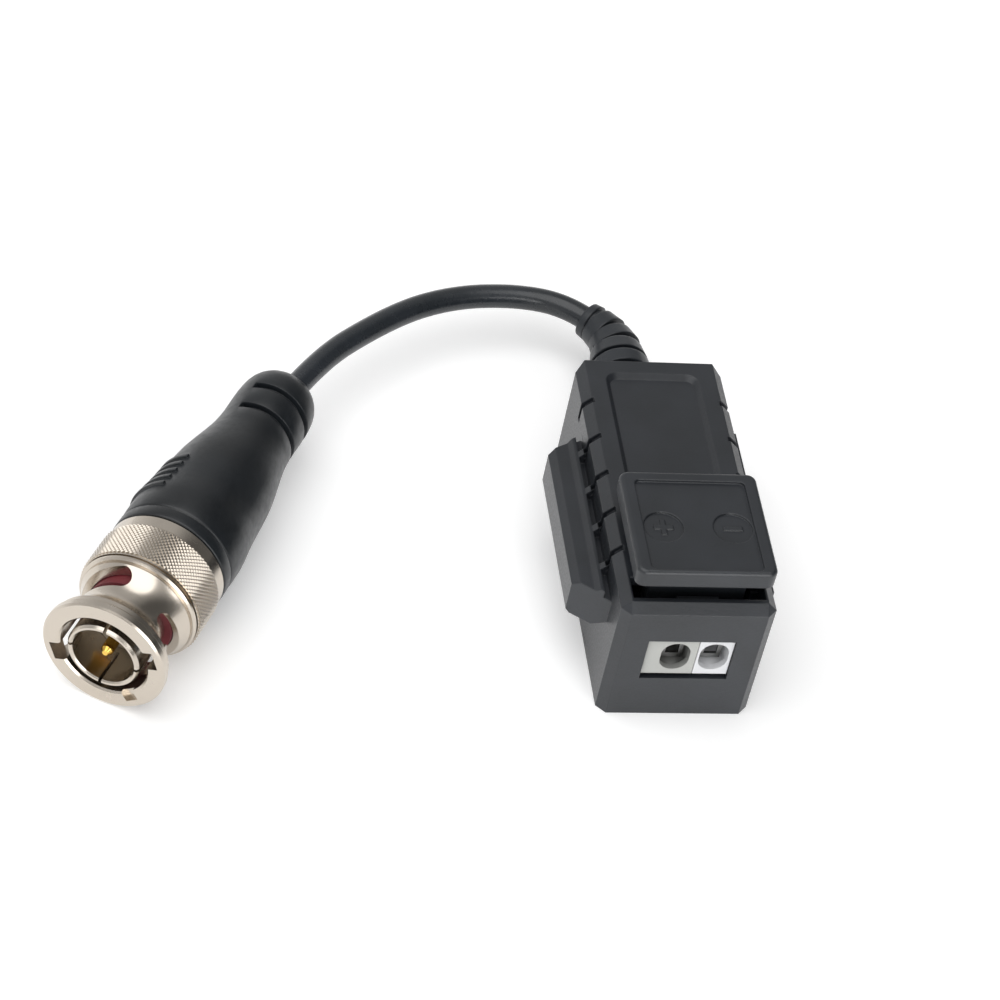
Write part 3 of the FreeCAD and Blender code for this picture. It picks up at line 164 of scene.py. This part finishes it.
def moulded_plastic(name, dark, light, roughness, grain, bump, ior=1.54,
                    edge=0.12 * MM, painted_shade_depth=0.0):
    material, shader = start_material(name, light, 0.0, roughness)
    shader.inputs["IOR"].default_value = ior
    place = add_node(material, "ShaderNodeTexCoord").outputs["Object"]
    grains = add_node(material, "ShaderNodeTexNoise",
                      {"Vector": place, "Scale": 1 / grain, "Detail": 3.0, "Roughness": 0.6})
    clouds = add_node(material, "ShaderNodeTexNoise",
                      {"Vector": place, "Scale": 1 / cloud_size, "Detail": 2.0})
    ramp = add_node(material, "ShaderNodeValToRGB", {"Fac": clouds.outputs["Fac"]})
    ramp.color_ramp.elements[0].position = 0.35
    ramp.color_ramp.elements[0].color = linear(dark)
    ramp.color_ramp.elements[1].position = 0.65
    ramp.color_ramp.elements[1].color = linear(light)
    gloss = add_node(material, "ShaderNodeMapRange",
                     {"Value": grains.outputs["Fac"], "From Min": 0.3, "From Max": 0.7,
                      "To Min": roughness - 0.06, "To Max": roughness + 0.08})
    rounding = add_node(material, "ShaderNodeBevel", {"Radius": edge}, samples=6)
    relief = add_node(material, "ShaderNodeBump",
                      {"Height": grains.outputs["Fac"], "Strength": 0.6, "Distance": bump,
                       "Normal": rounding.outputs["Normal"]})
    colour = ramp.outputs["Color"]
    # Painted shade: occlusion darkens the colour inside deep holes.
    if painted_shade_depth:
        colour = add_node(material, "ShaderNodeAmbientOcclusion",
                          {"Color": colour, "Distance": painted_shade_depth}).outputs["Color"]
    join_up(material, colour, shader, "Base Color")
    join_up(material, gloss.outputs["Result"], shader, "Roughness")
    join_up(material, relief.outputs["Normal"], shader, "Normal")
    return material


# %% [markdown]
# The housing and its key are black ABS with that spark-eroded grain. ABS is a
# deep charcoal more than a black, and its skin shows a soft grey sheen of the
# room. The key is moulded in another tool, with a slightly finer grain.

# %% Black ABS
housing_abs = moulded_plastic("spark_eroded_black_abs", "#1F2226", "#26292E", 0.36,
                              0.25 * MM, 0.02 * MM, edge=0.18 * MM)
key_abs = moulded_plastic("fine_grained_black_abs", "#202327", "#272A2F", 0.34,
                          0.18 * MM, 0.015 * MM, edge=0.22 * MM)
finish_nodes(housing_abs, "housing_shell", "bottom_cover")
finish_nodes(key_abs, "press_key")

# %% [markdown]
# The terminal blocks are polyamide in two shades, off-white on the left and
# clean white on the right, so that the two wires are told apart. Their mould
# was polished, so they are smoother than the housing. The wire holes of the
# left block are darkened inside with painted shade.

# %% Polyamide of the terminal blocks
# Painted shade darkens the left block's holes to three millimetres in.
off_white = moulded_plastic("satin_off_white_polyamide_hole_shade_painted", "#AEAFAB", "#B5B6B2", 0.42,
                            0.4 * MM, 0.008 * MM, painted_shade_depth=3 * MM)
clean_white = moulded_plastic("satin_white_polyamide", "#D6D7D9", "#DCDDDF", 0.40,
                              0.4 * MM, 0.008 * MM)
finish_nodes(off_white, "terminal_insert_left")
finish_nodes(clean_white, "terminal_insert_right")

# %% [markdown]
# Strain relief and boot are soft PVC, moulded over the lead. Soft PVC has no
# grain: its skin is smooth with a low, oily sheen and very faint flow waves,
# so its noise is wide and shallow. The ribs of the relief come out of the mould
# well rounded. Their colour is a little lighter than the boot's, a painted
# sheen for the highlight along the ribs. The jacket of the lead is the same
# plastic, drawn through a die, and shinier.

# %% Soft PVC
boot_pvc = moulded_plastic("overmoulded_soft_pvc", "#121518", "#181C20", 0.36,
                           0.9 * MM, 0.02 * MM, 1.50)
jacket_pvc = moulded_plastic("drawn_pvc_jacket", "#1F2327", "#282C31", 0.25,
                             1.2 * MM, 0.02 * MM)
# Painted sheen: the relief's colour is lighter than the boot's for the ribs' highlight.
relief_pvc = moulded_plastic("ribbed_soft_pvc_painted_sheen", "#1E2226", "#262A2F", 0.38,
                             0.9 * MM, 0.02 * MM, 1.50, edge=0.35 * MM)
finish_nodes(relief_pvc, "strain_relief")
finish_nodes(jacket_pvc, "cable", "coax_tail")

# %% [markdown]
# The plug is brass, turned on an automatic lathe and plated with bright
# nickel. Nickel is a warm white metal. The tool leaves very fine rings round
# the axis, far too fine to see one by one, and they spread each highlight
# along the plug. The noise is squeezed along the plug's line for that, and
# drawn a little coarser than real so that it shows.
#
# The other metals take the same steps with their own colour. The pin's gold
# flash is a deep yellow mirror. Spring steel comes greyer and softer from the
# rolls, and tin on the contact strips has dulled to a silky grey. Both colours
# are also kept darker than clean metal: painted shade for the clamp springs
# and contact strips deep in the terminal holes, which the steel pin and
# washers share. The clear enamel on the windings lets the copper shine red.

# %% Plated metal
ring_stretch = 0.02
wear_size = 2.5 * MM


def plated_metal(name, colour, roughness, ring, bump):
    material, shader = start_material(name, colour, 1.0, roughness)
    place = add_node(material, "ShaderNodeTexCoord").outputs["Object"]
    turned = add_node(material, "ShaderNodeMapping",
                      {"Vector": place, "Rotation": (0.0, 0.0, plug_angle)})
    rings = add_node(material, "ShaderNodeMapping",
                     {"Vector": turned.outputs["Vector"],
                      "Scale": (ring_stretch, 1.0, ring_stretch)})
    marks = add_node(material, "ShaderNodeTexNoise",
                     {"Vector": rings.outputs["Vector"], "Scale": 1 / ring, "Detail": 2.0})
    wear = add_node(material, "ShaderNodeTexNoise",
                    {"Vector": place, "Scale": 1 / wear_size, "Detail": 3.0})
    gloss = add_node(material, "ShaderNodeMapRange",
                     {"Value": wear.outputs["Fac"], "From Min": 0.3, "From Max": 0.7,
                      "To Min": roughness * 0.8, "To Max": roughness * 1.3})
    relief = add_node(material, "ShaderNodeBump",
                      {"Height": marks.outputs["Fac"], "Strength": 0.4, "Distance": bump})
    join_up(material, gloss.outputs["Result"], shader, "Roughness")
    join_up(material, relief.outputs["Normal"], shader, "Normal")
    return material


nickel = plated_metal("bright_nickel_on_turned_brass", "#C8BFB3", 0.22,
                      0.15 * MM, 0.004 * MM)
gold = plated_metal("gold_flash_on_brass", "#E8C060", 0.18, 0.15 * MM, 0.003 * MM)
# Steel and tin are darkened as painted shade for the parts inside the terminal holes.
steel = plated_metal("rolled_spring_steel_shade_darkened", "#8C8C8B", 0.34, 0.20 * MM, 0.004 * MM)
tin = plated_metal("tinned_copper_strip_shade_darkened", "#8E8A84", 0.38, 0.30 * MM, 0.004 * MM)
enamel = plated_metal("enamelled_copper_wire", "#B4652E", 0.28, 0.30 * MM, 0.002 * MM)
finish_nodes(nickel, "coupling_sleeve", "plug_body", "flat_washer", "crimp_ferrule")
finish_nodes(gold, "centre_pin")
finish_nodes(steel, "key_pivot_pin", "clamp_spring_left", "clamp_spring_right",
             "wave_washer", "retaining_ring")
finish_nodes(tin, "contact_left", "contact_right")
finish_nodes(enamel, "winding_left", "winding_right")

# %% [markdown]
# The small parts are moulded or fired too, so they use the same function. The
# acetal insulator round the pin is olive-brown and waxy. The gasket behind the
# sleeve's slots is dark red silicone, soft and nearly matt. The board has a
# glossy green lacquer on its glass epoxy. On it lie a sintered core, coarse and
# dull, epoxy cases with a satin skin, and a fired ceramic chip in matt tan.

# %% Small parts
insulator = moulded_plastic("moulded_acetal_insulator", "#857B6D", "#8D8475", 0.46,
                            0.4 * MM, 0.01 * MM, 1.48)
silicone = moulded_plastic("moulded_red_silicone", "#5E2128", "#70292F", 0.45,
                           0.5 * MM, 0.01 * MM, 1.42)
laminate = moulded_plastic("solder_mask_on_glass_epoxy", "#1C5232", "#235F3B", 0.30,
                           0.6 * MM, 0.01 * MM)
ferrite = moulded_plastic("sintered_ferrite", "#262525", "#323130", 0.62,
                          0.3 * MM, 0.03 * MM)
epoxy = moulded_plastic("moulded_epoxy_case", "#1D1D1D", "#262626", 0.40,
                        0.3 * MM, 0.01 * MM)
ceramic = moulded_plastic("fired_chip_ceramic", "#9C815F", "#AC9270", 0.40,
                          0.3 * MM, 0.01 * MM)
finish_nodes(insulator, "plug_insulator")
finish_nodes(silicone, "plug_gasket")
finish_nodes(laminate, "circuit_board")
finish_nodes(ferrite, "ferrite_core")
finish_nodes(epoxy, "surge_suppressor", "chip_resistor")
finish_nodes(ceramic, "chip_capacitor")

# %% [markdown]
# The lead is a thin coax. It leaves the bent strain relief, makes one wide
# loose curve over the table and runs into the boot. A swept circle in the CAD
# model would show its straight runs, so here it is one smooth line, with the
# corners of its route as control points, and a round bevel for the jacket. The
# last two points lie on the plug's own line, so it enters the boot straight.

# %% The lead
jacket_radius = 1.4 * MM
lead_route = [
    (0.0, 26.34, 6.2), (0.0, 33.34, 6.2), (-4.774, 38.459, 6.2), (-10.6, 39.75, 6.35),
    (-18.4, 38.9, 6.5), (-26.0, 35.1, 6.7), (-36.945, 25.486, 6.9), (-43.887, 12.869, 6.9),
]
lead_line = bpy.data.curves.new("coax_lead", "CURVE")
lead_line.dimensions = "3D"
spline = lead_line.splines.new("NURBS")
spline.points.add(len(lead_route) - 1)
for point, place in zip(spline.points, lead_route):
    point.co = (*(Vector(place) * MM), 1.0)
spline.order_u = 3
spline.use_endpoint_u = True
spline.resolution_u = 24
lead_line.bevel_depth = jacket_radius
lead_line.bevel_resolution = 8
lead_line.use_fill_caps = True
lead_line.materials.append(jacket_pvc)
lead = bpy.data.objects.new("coax_lead", lead_line)
bpy.context.collection.objects.link(lead)
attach(lead, "housing")
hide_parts("cable")
print("lead control points:", len(lead_route))

# %% [markdown]
# The boot is moulded over the crimped end of the lead. A real mould is turned,
# so the boot is turned here too: one circle is pulled along the plug's line
# and made wider or narrower at each station, down the outside, round the rear
# end and back along the bore, until it meets itself. The stations stand close
# where the outline bends, so that it reads as one smooth curve, and they also
# stand on both edges of every groove and ridge, which are made from them next.

# %% Turn the boot's outline


def deselect():
    if bpy.context.object and bpy.context.object.mode != "OBJECT":
        bpy.ops.object.mode_set(mode="OBJECT")
    bpy.ops.object.select_all(action="DESELECT")


def apply_all(piece):
    deselect()
    piece.select_set(True)
    bpy.context.view_layer.objects.active = piece
    for modifier in list(piece.modifiers):
        bpy.ops.object.modifier_apply(modifier=modifier.name)


def turn_ring(height, radius, new_height, new_radius):
    bpy.ops.mesh.extrude_region_move(
        TRANSFORM_OT_translate={"value": (0, 0, (new_height - height) * MM)})
    bpy.ops.transform.resize(value=(new_radius / radius, new_radius / radius, 1.0),
                             center_override=(0, 0, 0))


boot_lip = [(14.45, 6.55), (14.52, 6.66), (14.65, 6.70), (15.88, 6.70), (15.97, 6.66),
            (16.0, 6.50), (16.12, 6.50), (16.2, 6.60), (16.4, 6.66)]
boot_skin = [(17.4, 6.71), (18.4, 6.72), (19.35, 6.69), (19.9, 6.64), (20.7, 6.53),
             (21.25, 6.45), (22.0, 6.35), (22.55, 6.29), (23.3, 6.23), (23.85, 6.19),
             (24.6, 6.14), (25.15, 6.10), (26.2, 6.02), (27.4, 5.90), (28.6, 5.75),
             (29.8, 5.53), (31.0, 5.27), (32.2, 5.01), (33.4, 4.78), (34.6, 4.60),
             (35.9, 4.50), (36.8, 4.47), (38.1, 4.48), (39.4, 4.50), (40.3, 4.49),
             (41.2, 4.44), (42.0, 4.35), (42.7, 4.18), (43.3, 3.93), (43.8, 3.61),
             (44.2, 3.26), (44.5, 2.92), (44.75, 2.52), (44.92, 2.15), (45.0, 1.95)]
boot_bore = [(45.0, 1.78), (43.5, 1.66), (40.5, 1.46), (36.6, 1.46), (36.6, 2.45),
             (19.1, 2.45), (19.1, 3.65), (14.45, 3.65), (14.45, 6.55)]
boot_outline = boot_lip + boot_skin + boot_bore
turn_steps = 96
merge_gap = 0.01 * MM
deselect()
bpy.ops.mesh.primitive_circle_add(vertices=turn_steps, radius=boot_outline[0][1] * MM,
                                  location=(0, 0, 0))
boot = bpy.context.object
boot.name = "soft_boot"
bpy.ops.object.mode_set(mode="EDIT")
bpy.ops.mesh.select_all(action="SELECT")
bpy.ops.transform.translate(value=(0, 0, boot_outline[0][0] * MM))
for station, following in zip(boot_outline, boot_outline[1:]):
    turn_ring(*station, *following)
bpy.ops.mesh.select_all(action="SELECT")
bpy.ops.mesh.remove_doubles(threshold=merge_gap)
bpy.ops.mesh.normals_make_consistent(inside=False)
bpy.ops.object.mode_set(mode="OBJECT")
print("boot turned through", len(boot_outline), "stations, faces:", len(boot.data.polygons))

# %% [markdown]
# Two deep flex grooves run most of the way round near the lead, so that the
# boot bends there first. Five thin ridges on the upper left give the fingers
# a hold. Both are bands of the turned skin: they are picked by their place
# along the plug and round it, and pushed in or pulled out. Widths are in
# millimetres along the plug, as in the outline, and starts and sweeps are in
# degrees round it. A small bevel then rounds every edge, as soft plastic leaves
# the mould.

# %% Grooves and ridges
bore_edge = 3.7
groove_depth, groove_width = 0.75 * MM, 0.9
groove_start, groove_sweep = -30.0, 296.25
ridge_height, ridge_width = 0.26 * MM, 0.55
ridge_start, ridge_sweep = -82.5, 52.5


def pick_band(piece, low, high, start_angle, sweep):
    picked = 0
    for face in piece.data.polygons:
        x, y, z = face.center / MM
        angle = (math.degrees(math.atan2(y, x)) - start_angle) % 360
        outside = face.normal.dot(Vector((x, y, 0))) > 0 and math.hypot(x, y) > bore_edge
        face.select = outside and low < z < high and angle < sweep
        picked += face.select
    return picked


def push_band(piece, depth, *band):
    deselect()
    piece.select_set(True)
    bpy.context.view_layer.objects.active = piece
    bpy.ops.object.mode_set(mode="EDIT")
    bpy.ops.mesh.select_mode(type="FACE")
    bpy.ops.mesh.select_all(action="DESELECT")
    bpy.ops.object.mode_set(mode="OBJECT")
    picked = pick_band(piece, *band)
    bpy.ops.object.mode_set(mode="EDIT")
    bpy.ops.mesh.inset(thickness=0.0, depth=depth)
    bpy.ops.object.mode_set(mode="OBJECT")
    return picked


for low in (35.9, 39.4):
    picked = push_band(boot, -groove_depth, low, low + groove_width, groove_start, groove_sweep)
    print("flex groove at", low, "faces:", picked)
for low in (19.35, 20.7, 22.0, 23.3, 24.6):
    picked = push_band(boot, ridge_height, low, low + ridge_width, ridge_start, ridge_sweep)
    print("grip ridge at", low, "faces:", picked)
rounding = boot.modifiers.new("rounding", "BEVEL")
rounding.width = 0.07 * MM
rounding.segments = 2
rounding.limit_method = "ANGLE"
rounding.angle_limit = math.radians(40)
apply_all(boot)
boot.matrix_world = plug_place
deselect()
boot.select_set(True)
bpy.context.view_layer.objects.active = boot
bpy.ops.object.transform_apply(location=True, rotation=True, scale=True)
bpy.ops.object.shade_smooth_by_angle(angle=math.radians(35))
boot.data.materials.append(boot_pvc)
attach(boot, "housing")
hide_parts("plug_boot")
print("boot faces:", len(boot.data.polygons))

# %% [markdown]
# The sleeve's grip has a diamond knurl, rolled in with a pitch of half a
# millimetre. One diamond is enough to model: a square turned on its corner,
# whose middle is inset and raised. A second one fills the gap beside it, two
# arrays repeat the pair, and a bend closes the strip into a ring. This way
# all diamonds are the same and the seam fits.

# %% One pair of knurl diamonds
knurl_valley, knurl_peak = 6.765 * MM, 6.89 * MM
knurl_count = 84
knurl_low, knurl_high = 8.15 * MM, 12.6 * MM
knurl_pitch = 2 * math.pi * knurl_valley / knurl_count
knurl_rows = math.ceil((knurl_high - knurl_low) / knurl_pitch) + 1
knurl_slope = 0.135 * MM
deselect()
bpy.ops.mesh.primitive_plane_add(size=knurl_pitch / math.sqrt(2),
                                 location=(0, 0, knurl_low),
                                 rotation=(math.radians(90), math.radians(45), 0))
knurl = bpy.context.object
knurl.name = "sleeve_knurl"
bpy.ops.object.transform_apply(location=True, rotation=True, scale=True)
bpy.ops.object.mode_set(mode="EDIT")
bpy.ops.mesh.select_all(action="SELECT")
bpy.ops.mesh.inset(thickness=knurl_slope, depth=knurl_peak - knurl_valley)
bpy.ops.mesh.select_all(action="SELECT")
bpy.ops.mesh.duplicate_move(TRANSFORM_OT_translate={
    "value": (knurl_pitch / 2, 0, knurl_pitch / 2)})
bpy.ops.object.mode_set(mode="OBJECT")
print("knurl pitch in mm:", round(knurl_pitch / MM, 3), "rows:", knurl_rows)

# %% [markdown]
# The strip grows sideways and upward by two arrays. Half a pitch sticks out at
# the end and falls on the start once the strip is bent. The bend leaves the
# ring's centre one radius away, so the ring is moved home afterwards.

# %% Repeat them and bend the strip into a ring
corner_gap = 0.02 * MM
across = knurl.modifiers.new("across", "ARRAY")
across.use_relative_offset = False
across.use_constant_offset = True
across.constant_offset_displace = (knurl_pitch, 0, 0)
across.count = knurl_count
upward = knurl.modifiers.new("upward", "ARRAY")
upward.use_relative_offset = False
upward.use_constant_offset = True
upward.constant_offset_displace = (0, 0, knurl_pitch)
upward.count = knurl_rows
apply_all(knurl)
bend = knurl.modifiers.new("bend", "SIMPLE_DEFORM")
bend.deform_method = "BEND"
bend.deform_axis = "Z"
bend.angle = 2 * math.pi * (1 + 0.5 / knurl_count)
apply_all(knurl)
bpy.ops.object.mode_set(mode="EDIT")
bpy.ops.mesh.select_all(action="SELECT")
bpy.ops.mesh.remove_doubles(threshold=corner_gap)
bpy.ops.transform.translate(value=(0, -knurl_valley, 0))
print("diamonds' corners:", len(knurl.data.vertices))

# %% [markdown]
# Two cuts trim the ring to the grip. The raw rims are then pulled inward, into
# the metal of the sleeve, and bridged, so that the ring is closed all round.
# Last it is laid on the plug's line, where it turns with the sleeve.

# %% Trim the ring, close it and lay it on the sleeve
cut_tolerance = 0.0001 * MM
rim_shrink = 0.955


def cut_off(height, **side):
    bpy.ops.mesh.select_all(action="SELECT")
    bpy.ops.mesh.bisect(plane_co=(0, 0, height), plane_no=(0, 0, 1),
                        threshold=cut_tolerance, **side)


cut_off(knurl_low, clear_inner=True)
cut_off(knurl_high, clear_outer=True)
bpy.ops.mesh.select_mode(type="EDGE")
bpy.ops.mesh.select_all(action="DESELECT")
bpy.ops.mesh.select_non_manifold()
bpy.ops.mesh.extrude_edges_move()
bpy.ops.transform.resize(value=(rim_shrink, rim_shrink, 1.0), center_override=(0, 0, 0))
bpy.ops.mesh.bridge_edge_loops()
bpy.ops.mesh.select_all(action="SELECT")
bpy.ops.mesh.normals_make_consistent(inside=False)
bpy.ops.object.mode_set(mode="OBJECT")
knurl.matrix_world = plug_place
apply_all(knurl)
bpy.ops.object.transform_apply(location=True, rotation=True, scale=True)
knurl.data.materials.append(nickel)
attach(knurl, "sleeve")
print("knurl ring, faces:", len(knurl.data.polygons))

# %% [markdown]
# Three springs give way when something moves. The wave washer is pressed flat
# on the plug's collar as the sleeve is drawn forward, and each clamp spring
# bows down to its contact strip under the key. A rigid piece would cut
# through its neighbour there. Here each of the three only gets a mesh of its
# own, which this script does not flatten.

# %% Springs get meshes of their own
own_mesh(nodes["wave_washer"])
for name in ("clamp_spring_left", "clamp_spring_right"):
    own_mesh(nodes[name])

# %% [markdown]
# The object lies on a plain white table. A product photograph is often taken on
# a table that glows a little more than the object is lit. The light path node
# does that here: only the camera and the mirror images in gloss and metal see
# the extra glow, so it adds no light to the object and keeps its shadow.

# %% Floor
table_glow = 0.22
deselect()
bpy.ops.mesh.primitive_plane_add(size=4.0, location=(0, 0, 0))
floor = bpy.context.object
floor.name = "floor"
floor_white, floor_shader = start_material("white_table", "#F8F8F8", 0.0, 0.7)
paths = add_node(floor_white, "ShaderNodeLightPath")
seen = add_node(floor_white, "ShaderNodeMath", {0: paths.outputs["Is Camera Ray"],
                                                1: paths.outputs["Is Glossy Ray"]},
                operation="MAXIMUM")
glow = add_node(floor_white, "ShaderNodeMath", {0: seen.outputs["Value"], 1: table_glow},
                operation="MULTIPLY")
floor_shader.inputs["Emission Color"].default_value = linear("#FFFFFF")
join_up(floor_white, glow.outputs["Value"], floor_shader, "Emission Strength")
floor.data.materials.append(floor_white)
print("floor glows by", table_glow, "for camera and gloss")

# %% [markdown]
# The sky fades from the horizon upward, so that the roof stays darker than the
# front, and it falls off on the right, where the room is dark. The dark side
# gives the plated metal its deep bands, without which it would look like
# paper. Both fades read the direction of the sky, never the camera.

# %% Sky
sky = bpy.data.worlds.new("pale_room")
sky.use_nodes = True
direction = add_node(sky, "ShaderNodeTexCoord").outputs["Generated"]
split = add_node(sky, "ShaderNodeSeparateXYZ", {"Vector": direction})
upward_fade = add_node(sky, "ShaderNodeMapRange",
                       {"Value": split.outputs["Z"], "From Min": 0.1, "From Max": 0.6,
                        "To Min": 0.80, "To Max": 0.52})
right_fade = add_node(sky, "ShaderNodeMapRange",
                      {"Value": split.outputs["X"], "From Min": 0.25, "From Max": 0.65,
                       "To Min": 1.0, "To Max": 0.20})
light = add_node(sky, "ShaderNodeMath", {0: upward_fade.outputs["Result"],
                                         1: right_fade.outputs["Result"]},
                 operation="MULTIPLY")
background = sky.node_tree.nodes["Background"]
background.inputs["Color"].default_value = linear("#FFFFFF")
sky.node_tree.links.new(light.outputs["Value"], background.inputs["Strength"])
bpy.context.scene.world = sky
print("sky:", sky.name)

# %% [markdown]
# Two soft lamps stand round the table: a low one in front, which lights the
# terminals, and a wide one overhead on the left. Both aim at the middle of the
# object. The view transform is Standard, so that colours render as written.

# %% Lamps
lamp_aim = Vector((-0.02, 0.005, 0.008))


def soft_lamp(name, place, size, power):
    data = bpy.data.lights.new(name, "AREA")
    data.shape = "DISK"
    data.size = size
    data.energy = power
    lamp = bpy.data.objects.new(name, data)
    lamp.location = place
    lamp.rotation_euler = (lamp_aim - lamp.location).to_track_quat("-Z", "Y").to_euler()
    bpy.context.collection.objects.link(lamp)
    print(name, "lamp,", power, "W")


soft_lamp("low_front", (0.15, -0.85, 0.24), 0.60, 3.2)
soft_lamp("overhead", (-0.25, -0.10, 0.90), 1.20, 6.0)
bpy.context.scene.view_settings.view_transform = "Standard"
